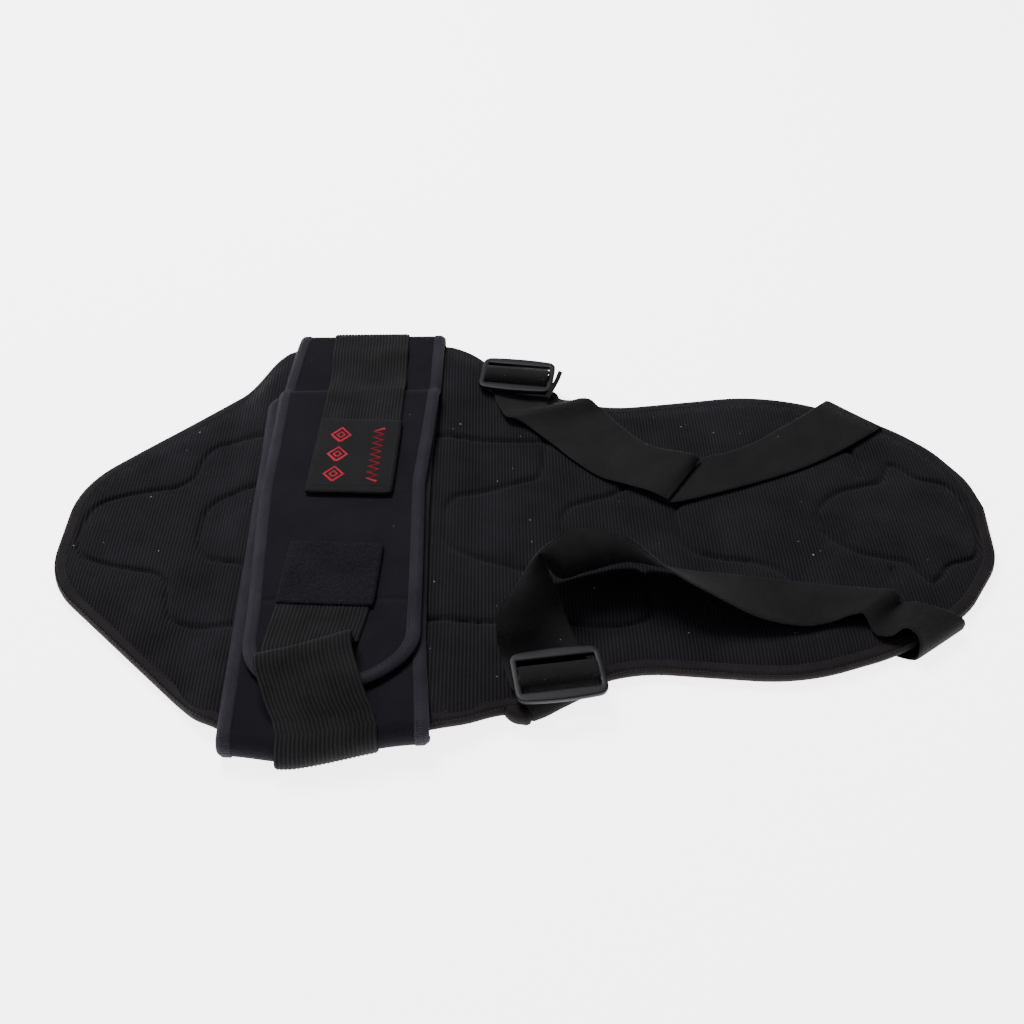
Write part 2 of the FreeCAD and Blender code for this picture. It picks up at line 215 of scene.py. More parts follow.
def slab(name, top, bottom, material, slot, weave=None, rigid=False, turn=0):
    """Closed solid between two grids of points."""
    rows, cols = top.shape[:2]
    n = rows * cols
    index = np.arange(n).reshape(rows, cols)
    faces = []
    for i in range(rows - 1):
        for j in range(cols - 1):
            a, b, c, d = index[i, j], index[i + 1, j], index[i + 1, j + 1], index[i, j + 1]
            faces += [(a, b, c, d), (d + n, c + n, b + n, a + n)]
    rim = list(index[0]) + list(index[1:, -1]) + list(index[-1, -2::-1]) + list(index[-2:0:-1, 0])
    faces += [(a, b, b + n, a + n) for a, b in zip(rim, rim[1:] + rim[:1])]
    verts = np.concatenate([top.reshape(-1, 3), bottom.reshape(-1, 3)])
    if weave is not None:
        weave = np.concatenate([weave.reshape(-1, 3)] * 2)
    return make(name, verts, faces, material, weave, rigid, turn)


def tube_faces(rows, cols, closed=False, first=0):
    """Quads between rings of points numbered from first; an open tube gets its two ends."""
    index = first + np.arange(rows * cols).reshape(rows, cols)
    faces = []
    for here, there in zip(index, np.roll(index, -1, 0)[:rows if closed else rows - 1]):
        faces += zip(here, there, np.roll(there, -1), np.roll(here, -1))
    return faces if closed else faces + [index[0], index[-1]]


def strip(name, rows, thick, material, slot, cols=14, spacing=2.5, ribs=0, depth=0.0, wavy=0.0,
          rigid=False):
    """Woven band through rows of (left edge, right edge), with a rolled edge and optional ribs."""
    path = flow(rows, spacing)
    left, right = path[:, :3], path[:, 3:]
    s = across(cols + 1)
    grid = left[:, None] * (1 - s) + right[:, None] * s
    grid[..., 2] = np.maximum(grid[..., 2], 0.52 * thick)          # never below the table
    normal = unit(np.cross(np.gradient(grid, axis=0), np.gradient(grid, axis=1)))
    aside = np.abs(2 * s - 1)
    half = thick / 2 * (1 - 0.72 * smooth((aside - 0.9) / 0.1) ** 3)
    rib = -depth * np.cos(2 * math.pi * ribs * s) * (aside < 0.97)
    if wavy:
        grid = grid + normal * wavy * ripple(grid, 24, 4)[..., None]
    weave = np.zeros(grid.shape)
    weave[..., 0] = s[..., 0] * (ELASTIC_WIDE if ribs else np.linalg.norm(right - left, axis=1).mean())
    weave[..., 1] = lengths(grid.mean(1))[:, None]
    offset = normal * (half + rib)
    return slab(name, grid + offset, grid - offset, material, slot, weave, rigid)


def tape(name, points, outward, up, half, material, closed=False, proud=0.7, turn=0):
    """Folded edge tape: half is the half thickness of what it binds, at each point."""
    width = TAPE_WIDE
    half = np.broadcast_to(np.asarray(half, float), (len(points),))[:, None]
    one, zero = np.ones_like(half), np.zeros_like(half)
    profile = [
        (-width * one, half - 0.3), (-width * one, half + 0.7 * proud),
        (-(width - 0.6) * one, half + proud), (-0.62 * width * one, half + 1.15 * proud),
        (-0.35 * width * one, half + 1.1 * proud), (-1.3 * one, half + 0.9 * proud),
        (-0.1 * one, half * 0.85 + 0.2 * proud), (0.8 * one, half * 0.4), (0.95 * one, zero),
        (0.8 * one, -half * 0.4), (-0.1 * one, -half * 0.85 - 0.2 * proud), (-1.6 * one, -half - 0.5 * proud),
        (-width * one, -half - 0.4 * proud), (-width * one, 0.3 - half), (-1.5 * one, 0.4 - half),
        (-0.3 * one, -0.3 * half), (-0.3 * one, 0.3 * half), (-1.5 * one, half - 0.4),
    ]
    rings = np.stack([points + outward * a + up * b for a, b in profile], 1)
    weave = np.zeros(rings.shape)
    weave[..., 0] = lengths(rings[0])[None]
    weave[..., 1] = lengths(points)[:, None]
    return make(name, rings.reshape(-1, 3), tube_faces(*rings.shape[:2], closed), material,
                weave.reshape(-1, 3), turn=turn)


def stitches(name, path, up, pitch=3.1, thick=0.5, turn=0):
    """Row of sewn stitches along a path, each a small spindle lying on the cloth."""
    long = 2.1
    along = lengths(path)
    at = np.arange(pitch / 2, along[-1], pitch)

    def place_on(values, where):
        return np.stack([np.interp(where, along, values[:, k]) for k in range(3)], 1)

    high = unit(place_on(np.broadcast_to(up, path.shape), at))
    run = unit(place_on(path, at + 0.5) - place_on(path, at - 0.5))
    side = unit(np.cross(run, high))
    verts, faces = [], []
    for c, t, u, w in zip(place_on(path, at), run, high, side):
        base = len(verts)
        verts.append(c - t * long / 2 - u * 0.15)
        for place in (-0.28, 0.28):
            for k in range(4):
                angle = math.pi / 4 + k * math.pi / 2
                verts.append(c + t * long * place + thick * 0.5525
                             * (u * math.sin(angle) * 0.8 + w * math.cos(angle)))
        verts.append(c + t * long / 2 - u * 0.15)
        for k in range(4):
            j = (k + 1) % 4
            faces += [(base, base + 1 + j, base + 1 + k), (base + 9, base + 5 + k, base + 5 + j),
                      (base + 1 + k, base + 1 + j, base + 5 + j, base + 5 + k)]
    return make(name, verts, faces, THREAD, turn=turn)


# ------------------------------------------------------------------ materials
def node(nt, kind, **values):
    made = nt.nodes.new("ShaderNode" + kind)
    for key, value in values.items():
        if hasattr(made, key):
            setattr(made, key, value)
        else:
            made.inputs[key.replace("_", " ")].default_value = value
    return made


def feed(nt, socket, value):
    """Give a socket another node's output, or a plain value."""
    if hasattr(value, "links"):
        nt.links.new(value, socket)
    else:
        socket.default_value = value


def math_node(nt, operation, a, b):
    made = node(nt, "Math", operation=operation)
    feed(nt, made.inputs[0], a)
    feed(nt, made.inputs[1], b)
    return made.outputs[0]


def mixed(nt, factor, a, b):
    made = node(nt, "Mix", data_type="RGBA")
    for key, value in (("Factor", factor), ("A", a), ("B", b)):
        feed(nt, made.inputs[key], value)
    return made.outputs["Result"]


def texture(nt, place, kind, **values):
    made = node(nt, "Tex" + kind, **values)
    nt.links.new(place, made.inputs["Vector"])
    return made


def relief(nt, bsdf, height, strength, distance):
    made = node(nt, "Bump", Strength=strength, Distance=distance)
    nt.links.new(height, made.inputs["Height"])
    nt.links.new(made.outputs["Normal"], bsdf.inputs["Normal"])


def surface(name, **sockets):
    material = bpy.data.materials.new(name)
    material.use_nodes = True
    nt = material.node_tree
    bsdf = nt.nodes["Principled BSDF"]
    for key, value in sockets.items():
        bsdf.inputs[key.replace("_", " ")].default_value = value
    return material, nt, bsdf


def cloth(name, dark, light, ribs, fuzz=0.35, rough=0.88, sheen=0.25, bump=0.5, flat=False, lint=0.0,
          warp=0.6, grain=1700.0):
    """Fabric: ribs are (axis, pitch in mm, share of the relief); flat weaves it by place on the object,
    otherwise it follows the piece's own cloth coordinates."""
    material, nt, bsdf = surface(name, Roughness=rough, Sheen_Weight=sheen * 0.14, Sheen_Roughness=0.4,
                                 Specular_IOR_Level=0.06)
    bsdf.inputs["Sheen Tint"].default_value = (0.80, 0.80, 0.9, 1)
    if flat:
        place = node(nt, "TexCoord").outputs["Object"]
    else:
        place = node(nt, "Attribute", attribute_name="weave").outputs["Vector"]
    height = None
    for axis, pitch, share in ribs:
        # a wave texture of scale 1 repeats every 0.31416
        wave = texture(nt, place, "Wave", wave_type="BANDS", bands_direction=axis, wave_profile="SIN",
                       Scale=0.31416 / (pitch * MM), Distortion=warp, Detail=1.0, Detail_Scale=0.35)
        part = math_node(nt, "MULTIPLY", wave.outputs["Fac"], share)
        height = part if height is None else math_node(nt, "ADD", height, part)
    pile = texture(nt, place, "Noise", Scale=grain, Detail=3.0, Roughness=0.6)
    height = math_node(nt, "ADD", height, math_node(nt, "MULTIPLY", pile.outputs["Fac"], fuzz))
    broad = texture(nt, place, "Noise", Scale=38.0, Detail=4.0, Roughness=0.55)
    # colour follows the relief: painted shade darkens the hollows between ribs and the low pile, and the
    # broad noise adds random tone
    hollow_shade_and_tone = math_node(nt, "ADD", math_node(nt, "MULTIPLY", height, 0.75),
                     math_node(nt, "MULTIPLY", math_node(nt, "SUBTRACT", broad.outputs["Fac"], 0.5), 0.9))
    colour = mixed(nt, hollow_shade_and_tone, (*dark, 1), (*light, 1))
    if lint:
        cells = texture(nt, place, "Voronoi", Scale=150.0, Randomness=1.0)
        patchy = texture(nt, place, "Noise", Scale=85.0, Detail=2.0)
        reach = math_node(nt, "MULTIPLY", math_node(nt, "SUBTRACT", patchy.outputs["Fac"], 0.50), lint)
        speck = math_node(nt, "LESS_THAN", cells.outputs["Distance"], reach)
        colour = mixed(nt, speck, colour, (0.16, 0.16, 0.17, 1))
    nt.links.new(colour, bsdf.inputs["Base Color"])
    relief(nt, bsdf, height, bump, 0.0006)
    return material


LINING = cloth("ribbed_lining", (0.0036, 0.0032, 0.0042), (0.0170, 0.0155, 0.0190),
               [("X", 1.97, 0.75), ("Y", 1.2, 0.10)], flat=True, lint=0.45, bump=0.9)
COVER = cloth("woven_cover", (0.005, 0.005, 0.006), (0.013, 0.013, 0.016),
              [("X", 0.9, 0.4), ("Y", 0.9, 0.4)], flat=True)
LOOP = cloth("brushed_loop", (0.0050, 0.0046, 0.0066), (0.0112, 0.0104, 0.0148),
             [("X", 1.3, 0.12)], fuzz=0.75, sheen=0.45, bump=0.45, lint=0.3)
BINDING = cloth("woven_tape", (0.010, 0.009, 0.013), (0.034, 0.031, 0.041),
                [("Y", 0.8, 0.45), ("X", 1.5, 0.15)], sheen=0.3, rough=0.75, bump=0.6)
PANEL_TAPE = cloth("panel_tape", (0.0075, 0.0062, 0.0066), (0.024, 0.0205, 0.0215),
                   [("Y", 0.8, 0.45), ("X", 1.5, 0.15)], sheen=0.3, rough=0.75, bump=0.6)
RIBBED = cloth("ribbed_elastic", (0.0038, 0.0034, 0.0038), (0.0230, 0.0213, 0.0230),
               [("X", ELASTIC_WIDE / ELASTIC_RIBS, 0.5), ("Y", 0.75, 0.22)], rough=0.8, bump=0.5, warp=0.1)
SMOOTH = cloth("smooth_elastic", (0.0060, 0.0054, 0.0056), (0.0180, 0.0166, 0.0172),
               [("Y", 0.8, 0.3), ("X", 0.9, 0.3)], rough=0.78, bump=0.45, lint=0.35)
HOOK = cloth("hook_and_loop", (0.0015, 0.0015, 0.0020), (0.0120, 0.0115, 0.0145),
             [("X", 1.5, 0.10), ("Y", 1.5, 0.10)], fuzz=1.7, rough=0.95, sheen=0.15, bump=1.0, grain=620.0)
LABEL = cloth("label_weave", (0.0055, 0.0053, 0.0060), (0.0125, 0.0120, 0.0135),
              [("Y", 0.7, 0.5), ("X", 1.6, 0.12)], rough=0.6, sheen=0.15, bump=0.5)
THREAD = cloth("sewing_thread", (0.012, 0.0115, 0.015), (0.036, 0.034, 0.042),
               [("X", 0.6, 0.5)], flat=True, rough=0.65)
RED = cloth("red_thread", (0.24, 0.007, 0.018), (0.50, 0.024, 0.055),
            [("X", 0.7, 0.5), ("Y", 0.7, 0.2)], flat=True, rough=0.55, sheen=0.1)


def moulded_plastic():
    material, nt, bsdf = surface("black_plastic", Roughness=0.46, Specular_IOR_Level=0.15)
    wear = texture(nt, node(nt, "TexCoord").outputs["Object"], "Noise", Scale=420.0, Detail=4.0,
                   Roughness=0.6)
    colour = mixed(nt, wear.outputs["Fac"], (0.0038, 0.0037, 0.0052, 1), (0.0100, 0.0098, 0.0130, 1))
    nt.links.new(colour, bsdf.inputs["Base Color"])
    relief(nt, bsdf, wear.outputs["Fac"], 0.12, 0.0004)
    return material


PLASTIC = moulded_plastic()


# ------------------------------------------------------------------ back panel
# corners of the panel's outline as (x, distance from the middle line, radius), from its lower end
LEFT_HALF = [(-164.5, 0, 0), (-164.5, 39, 60), (-45, 157.3, 60), (60, 156.8, 90), (153, 107, 80)]
FAR_HALF = LEFT_HALF + [(268, 122, 120), (335, 88.5, 100), (358, 64, 60), (373, 35, 50), (376, 12, 30),
                        (376, 0, 0)]
NEAR_HALF = LEFT_HALF + [(245, 116.5, 120), (300, 98.5, 120), (345, 69, 60), (370, 34, 50), (376, 0, 0)]
# the quilting seams of one half; the other half mirrors them
SEAMS = [
    [(-155, 0), (-154, 9), (-149, 21), (-136, 28), (-118, 33), (-104, 37), (-97, 44), (-94, 58),
     (-88, 72), (-78, 77), (-40, 78), (40, 77), (110, 76), (162, 77.5), (169, 74), (171, 60),
     (168, 36), (158, 26), (143, 20), (130, 14), (125, 3), (125, 0)],
    [(-85, 0), (-84, 14), (-78, 24), (-62, 31), (-48, 36), (-38, 40), (-28, 60), (-24, 77)],
    [(57, 0), (57, 11), (62, 21), (72, 26), (86, 31), (101, 37), (112, 41), (116, 55), (118, 76)],
    [(192, 0), (193, 11), (201, 25), (216, 30), (233, 33), (246, 40), (252, 47), (257, 60), (268, 70),
     (300, 71), (309, 60), (309, 40)],
    [(276, 0), (277, 8), (282, 16), (294, 26), (309, 31), (320, 35), (325, 44), (330, 50), (335, 46),
     (341, 38), (359, 30), (364, 16), (365, 0)],
]


def panel_lift(x):
    return PANEL_LIFT * smooth((80 - np.abs(x)) / 23)


def half_outline(corners):
    line = rounded(corners)
    return resample(line[line[:, 1] > 0], 330)


outline, near_outline = half_outline(FAR_HALF), half_outline(NEAR_HALF)
both_sides = [flow([(*p, 0) for p in line], 2.0)[:, :2] for line in SEAMS]
both_sides += [line * [1, -1] for line in both_sides]


def panel_grid(cols):
    """Plan points from the near outline to the far one, closer together where the panel rolls over."""
    t = np.linspace(-1, 1, cols)
    t = np.sign(t) * (1 - (1 - np.abs(t)) ** 1.12)
    middle = (outline[:, :1] + near_outline[:, :1]) / 2
    side = np.where(t[None, :, None] > 0, outline[:, None], near_outline[:, None])
    x = middle + (side[..., 0] - middle) * np.abs(t)
    return np.stack([x, side[..., 1] * t], -1)


plan = panel_grid(191)
flat_plan = plan.reshape(-1, 2)
over_belt = panel_lift(plan[..., 0])
rim = np.concatenate([outline, near_outline[::-1] * [1, -1], outline[:1]])
edge_gap = from_line(flat_plan, rim).reshape(plan.shape[:2])
seam_gap = np.min([from_line(flat_plan, line) for line in both_sides], 0).reshape(plan.shape[:2])
top_z = (PANEL_TOP - 0.8 + over_belt - 1.9 * np.exp(-(edge_gap / 9) ** 2)
         - 1.9 * np.exp(-(seam_gap / 1.6) ** 2) + 1.0 * (1 - np.exp(-seam_gap / 9))
         + 0.45 * ripple(plan, 55, 3) * smooth((np.abs(plan[..., 0]) - 60) / 30))
under_z = PANEL_UNDER + over_belt + 0.5 * np.exp(-(edge_gap / 8) ** 2)
middle_z = under_z + 1.6          # where the lining's body ends and the outer cover begins
lining = slab("quilted_lining", np.dstack([plan, top_z]), np.dstack([plan, middle_z + 0.02]), LINING,
              "lining")
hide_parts("panel_lining", "panel_core", "spine_insert")
cover = slab("outer_cover", np.dstack([plan, middle_z])[::3, ::5], np.dstack([plan, under_z])[::3, ::5],
             COVER, "cover")
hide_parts("panel_cover")
for piece in (lining, cover):
    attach(piece, ROOT)

rim = resample(rim, 620)[:-1]
rim_run = unit(np.roll(rim, -1, 0) - np.roll(rim, 1, 0))
rim_out = np.stack([-rim_run[:, 1], rim_run[:, 0], np.zeros(len(rim))], 1)
rim_low = PANEL_UNDER - 0.3 + panel_lift(rim[:, 0])
rim_high = PANEL_TOP - 1.9 + panel_lift(rim[:, 0])
rim_line = np.column_stack([rim, (rim_low + rim_high) / 2])
edge_tape = tape("panel_edge_tape", rim_line, rim_out, np.broadcast_to(UP, rim_line.shape),
                 (rim_high - rim_low) / 2, PANEL_TAPE, closed=True)
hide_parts("panel_binding")
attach(edge_tape, ROOT)
sewn = rim_line - rim_out * 5.2
sewn[:, 2] = rim_high + 0.85
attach(stitches("panel_edge_stitches", np.vstack([sewn, sewn[:1]]), UP), ROOT)


# ------------------------------------------------------------------ waist belt
def belt_piece(name, left, right, height, turn, seed):
    """Padded wing between two plan edges, with its middle at height(y)."""
    left, right = resample(left, 230), resample(right, 230)
    s = across(22)
    plan_points = left[:, None] * (1 - s) + right[:, None] * s
    middle = height(plan_points[..., 1])
    aside = np.abs(2 * s[..., 0] - 1)
    half = BELT_THICK / 2 * (1 - 0.5 * smooth((aside - 0.88) / 0.12))
    puff = 0.25 * ripple(plan_points, 38, seed)
    crease = -0.9 * np.exp(-((plan_points[..., 1] + 70) / 1.3) ** 2) * (turn > 0)          # far wing only
    return slab(name, np.dstack([plan_points, middle + half + puff + crease]),
                np.dstack([plan_points, middle - half]), LOOP, "loop_fabric",
                np.dstack([plan_points, np.zeros(middle.shape)]), turn=turn)


def edge_path(left, right, height):
    """Round a wing's edge in plan: points, outward directions and upward directions."""
    path = np.vstack([left, right[::-1]])
    path = resample(path, int(lengths(path)[-1] / 3))
    run = unit(np.gradient(path, axis=0))
    out = np.stack([run[:, 1], -run[:, 0], np.zeros(len(run))], 1)
    if (out[:, :2] * (path - path.mean(0))).sum() < 0:
        out = -out
    line = np.column_stack([path, height(path[:, 1])])
    up = unit(np.cross(unit(np.gradient(line, axis=0)), out))
    up *= np.sign(up[:, 2:])
    return line, out, up


def wing(tag, corners_left, corners_right, height, fold, seed):
    """Belt wing with its tape and stitches."""
    left, right = rounded(corners_left), rounded(corners_right)
    pad = belt_piece(tag + "_wing_pad", left, right, height, fold, seed)
    line, out, up = edge_path(left, right, height)
    band = tape(tag + "_wing_tape", line, out, up, BELT_EDGE, BINDING, proud=1.1, turn=fold)
    seam = stitches(tag + "_wing_stitches", line - out * 5.3 + up * (BELT_EDGE + 1.2), up,
                    turn=fold)
    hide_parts(tag + "_wing")
    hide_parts(tag + "_wing_binding")
    for piece in (pad, band, seam):
        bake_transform(piece)


def near_height(y):
    return np.full(np.shape(y), WING_MID)


def far_height(y):
    return WING_MID + WING_RISE * smooth((112 - np.asarray(y)) / 8)


FOLD_END = FOLD_Y + math.pi * U_RADIUS
wing("near",
     [(-50, -FOLD_END, 0), (-50, -FOLD_Y, 0), (-57, 107, 8), (-4, 107, 0)],
     [(52.5, -FOLD_END, 0), (52.5, -FOLD_Y, 0), (48.7, -95, 60), (47.0, 0, 80), (47.3, 50, 60),
      (50.5, 107, 8), (-2, 107, 0)],
     near_height, -1, 5)
wing("far",
     [(-42.5, FOLD_END, 0), (-42.5, FOLD_Y, 0), (-49.5, 103, 30), (-50.5, 15, 60), (-44.6, -80, 90),
      (-43.4, -134, 38), (-4, -134, 0)],
     [(53, FOLD_END, 0), (53, FOLD_Y, 0), (51.5, 116, 60), (44.2, 24, 90), (45.5, -41, 60), (46.5, -134, 38),
      (-2, -134, 0)],
     far_height, 1, 6)


def u_path(radius, middle, near=True, far=True, flat_from=-FOLD_Y, flat_to=FOLD_Y):
    """(y, z) along a band that lies flat and turns up round one or both folds."""
    turn = np.linspace(0, math.pi, 15)
    parts = []
    if near:
        parts.append(np.stack([-FOLD_Y - radius * np.sin(turn), middle + radius * np.cos(turn)], 1))
    parts.append(np.stack([np.linspace(flat_from, flat_to, 40)[1:-1], np.full(38, middle - radius)], 1))
    if far:
        parts.append(np.stack([FOLD_Y + radius * np.sin(turn), middle - radius * np.cos(turn)], 1))
    return np.vstack(parts)


belt_yz = u_path(U_RADIUS, U_TURN, near=False, far=False)
share = smooth(np.linspace(0, 1, len(belt_yz)))
belt_left, belt_right = -50 + 4 * share, 52.5 + 0.5 * share
belt_rows = np.column_stack([belt_left, belt_yz, belt_right, belt_yz])
back = strip("belt_back_pad", belt_rows, BELT_THICK, LOOP, "loop_fabric", cols=20, spacing=2.0)
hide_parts("belt_back")
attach(back, ROOT)
belt_line = flow(belt_rows, 2.0)
for tag, points, out in (("left", belt_line[:, :3], -1), ("right", belt_line[:, 3:], 1)):
    outward = np.tile([out, 0.0, 0.0], (len(points), 1))
    up = unit(np.cross(np.gradient(points, axis=0), outward))
    up *= np.sign((up * (points - [0, 0, U_TURN])).sum(1))[:, None]
    up[np.abs(points[:, 1]) < FOLD_Y - 1] = [0, 0, -1]
    band = tape("belt_back_tape_" + tag, points, outward, up, BELT_EDGE, BINDING, proud=1.0)
    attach(band, ROOT)


# ------------------------------------------------------------------ pull straps
def elastic_turn(left, right, slant, near, bulge=0.0):
    """Rows of a pull strap's run under the belt and round its fold; bulge hangs its left edge further out."""
    yz = u_path(ELASTIC_RADIUS, U_TURN, near, not near, -FOLD_Y if near else 10.6, 10 if near else FOLD_Y)
    if near:
        yz = yz[::-1]
    drift = slant * (1 - smooth((np.abs(yz[:, :1]) - 60) / 100))
    hang = np.sin(np.clip((yz[:, 1:] - 0.7) / 16.8, 0, 1) * math.pi) * (np.abs(yz[:, :1]) > FOLD_Y - 1)
    return np.hstack([left + drift, yz - [bulge, 0] * hang, right + drift, yz])


# rows of a strap: its left and right edge points
NEAR_PULL = [
    (-22.6, -154.5, 17.9, 26.9, -154.5, 17.9), (-23.6, -150.5, 18.6, 25.9, -150.0, 18.6),
    (-27.0, -144.0, 22.2, 22.4, -142.5, 21.8), (-30.6, -135.5, 28.0, 18.4, -131.0, 27.0),
    (-33.3, -129.0, 32.1, 14.5, -118.0, 31.2), (-33.8, -127.0, 33.7, 13.5, -113.9, 33.1),
    (-33.9, -126.2, 34.3, 13.3, -112.8, 33.7), (-34.0, -125.2, 34.6, 13.2, -111.6, 34.0),
    (-34.4, -120.4, 35.0, 12.9, -106.0, 34.5),
    (-34.7, -119.4, 33.2, 13.0, -105.0, 32.8), (-34.9, -119.0, 29.0, 13.3, -104.7, 29.0),
    (-34.9, -118.2, 25.8, 14.0, -105.0, 25.8), (-34.6, -113.0, 23.2, 15.0, -103.6, 23.2),
    (-34.0, -102.0, 22.6, 16.0, -98.0, 22.6),
    (-31.0, -77.5, 22.6, 19.0, -80.0, 22.6), (-30.0, -66.0, 22.6, 20.0, -68.0, 22.6),
]
near_rows = np.vstack([elastic_turn(-21.5, 28.0, 1.5, True, bulge=3.5), NEAR_PULL])
near_pull = strip("near_pull_band", near_rows, ELASTIC, RIBBED, "elastic", cols=120, spacing=1.6,
                  ribs=ELASTIC_RIBS, depth=0.2)
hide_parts("near_strap", "near_back_elastic")
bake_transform(near_pull)

far_rows = elastic_turn(-20.0, 29.5, 0.5, False)
far_turn = strip("far_elastic_turn", far_rows, ELASTIC, RIBBED, "elastic", cols=120, spacing=1.8,
                 ribs=ELASTIC_RIBS, depth=0.2)
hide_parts("far_back_elastic")
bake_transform(far_turn)

FAR_PULL = [
    (-20.0, 157.4, 17.55, 29.5, 157.4, 17.55), (-19.8, 150, 17.7, 29.6, 150, 17.6),
    (-19.7, 135, 18.6, 29.6, 137.5, 18.6), (-19.6, 131, 17.8, 29.6, 133.5, 17.8),
    (-19.5, 116, 18.6, 29.5, 117, 18.4), (-19.5, 108.5, 21.4, 29.5, 110, 21.0),
    (-19.6, 101, 23.4, 29.4, 104.5, 23.4), (-19.9, 95, 22.8, 29.2, 98, 22.8),
    (-20.5, 90, 22.7, 28.8, 90, 22.7), (-21.4, 66, 22.7, 28.0, 66, 22.7),
]
far_pull = strip("far_pull_band", FAR_PULL, ELASTIC, RIBBED, "elastic", cols=120, ribs=ELASTIC_RIBS,
                 depth=0.2)
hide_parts("far_strap")
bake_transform(far_pull)


def patch(name, centre, turn, wide, long, low, high, material, slot, body, rough=0.0, lip=0.8):
    """Rounded flat patch, low to high, turned in plan."""
    u = signed_power(np.linspace(-1, 1, 53), 0.9)
    a, b = np.meshgrid(u, u, indexing="ij")
    pull = 1 - 0.02 * np.abs(a * b) ** 6
    x, y, level = a * wide / 2 * pull, b * long / 2 * pull, 0 * a
    border = np.maximum(np.abs(a), np.abs(b))
    weave = np.dstack([x, y, level])
    top = high - lip * smooth((border - 0.94) / 0.06) ** 2 + rough * ripple(weave, 2.6, 2) * (border < 0.95)
    sides = [turned(np.dstack([x, y, z]), (*centre, 0), turn) for z in (top, level + low)]
    piece = slab(name, *sides, material, slot, weave)
    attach(piece, body)
    return piece


def ring_path(centre, turn, wide, long, z, inset):
    """Line for the stitches that run round inside a patch's edge."""
    corners = np.array([(-1, -1, 0), (1, -1, 0), (1, 1, 0), (-1, 1, 0), (-1, -1, 0)])
    return resample(turned(corners * (wide / 2 - inset, long / 2 - inset, 0), (*centre, z), turn), 160)


PATCH = ((-3.3, -52.5), -3.5, 52.5, 47.5)          # centre, turn, width and length
LABEL_AT, LABEL_TURN = (2.4, 45), -2.6
near_patch = patch("near_pull_patch", *PATCH, 21.8, 24.6, HOOK, "hook", "near_pull_strap", rough=0.3)
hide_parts("near_strap_patch")
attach(stitches("near_patch_stitches", ring_path(*PATCH, 24.5, 2.6), UP, pitch=2.6, thick=0.35),
        "near_pull_strap")

label = patch("far_pull_label", LABEL_AT, LABEL_TURN, 51, 67, 22.9, 25.2, LABEL, "label", "far_pull_strap",
              lip=0.9)
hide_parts("far_strap_label")
hook = patch("far_pull_hook", LABEL_AT, LABEL_TURN, 44, 60, 21.8, 22.85, HOOK, "hook", "far_pull_strap",
             lip=0.2)
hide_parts("far_strap_hook")
wing_hook = patch("far_wing_hook_patch", (-2, -92), 0, 52, 52, 16.8, 17.8, HOOK, "hook", "far_belt_wing",
                  lip=0.1)
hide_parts("far_wing_hook")
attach(stitches("label_stitches", ring_path(LABEL_AT, LABEL_TURN, 51, 67, 25.1, 2.4), UP,
                 pitch=2.4, thick=0.35), "far_pull_strap")
hem_x = np.linspace(-21.5, 25.5, 30)
hem = np.column_stack([hem_x, 17.4 - 0.045 * hem_x, np.full(30, 25.3)])
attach(stitches("label_hem_stitches", hem, UP, pitch=2.0, thick=0.35), "far_pull_strap")


def label_motif():
    """Plain woven ornament in place of any wording: a zigzag and a row of lozenges."""
    verts, faces = [], []
    foot, crest = 25.1, 25.55          # heights of the thread

    def bar(points, width):
        """Low ridge of thread along a line."""
        points = np.array(points, float)
        run = unit(np.gradient(points, axis=0))
        side = np.stack([-run[:, 1], run[:, 0]], 1) * width / 2
        base = len(verts)
        for p, s in zip(points, side):
            ridge = [(*(p - s), foot), (*(p + s), foot), (*p, crest)]
            verts.extend(turned(ridge, (*LABEL_AT, 0), LABEL_TURN))
        for i in range(len(points) - 1):
            a = base + 3 * i
            faces.extend([(a, a + 3, a + 5, a + 2), (a + 2, a + 5, a + 4, a + 1), (a + 1, a + 4, a + 3, a)])
        faces.extend([(base, base + 2, base + 1), (len(verts) - 3, len(verts) - 2, len(verts) - 1)])

    zigzag = [(12.6 + 3.1 * (-1) ** k, -24 + 2.7 * k) for k in range(19)]
    bar(zigzag, 2.2)
    for k in range(3):
        y = -18 + 18 * k
        bar([(-10.5, y - 6.4), (-4.8, y), (-10.5, y + 6.4), (-16.2, y), (-10.5, y - 6.4)], 2.1)
        bar([(-10.5, y - 2.6), (-8.2, y), (-10.5, y + 2.6), (-12.8, y), (-10.5, y - 2.6)], 1.7)
    return make("label_motif", verts, faces, RED)


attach(label_motif(), "far_pull_strap")


# ------------------------------------------------------------------ shoulder straps
def edge(x, out=0.0):
    """Distance of the panel's edge from the middle line at x, plus out."""
    return float(np.interp(x, outline[:, 0], outline[:, 1])) + out


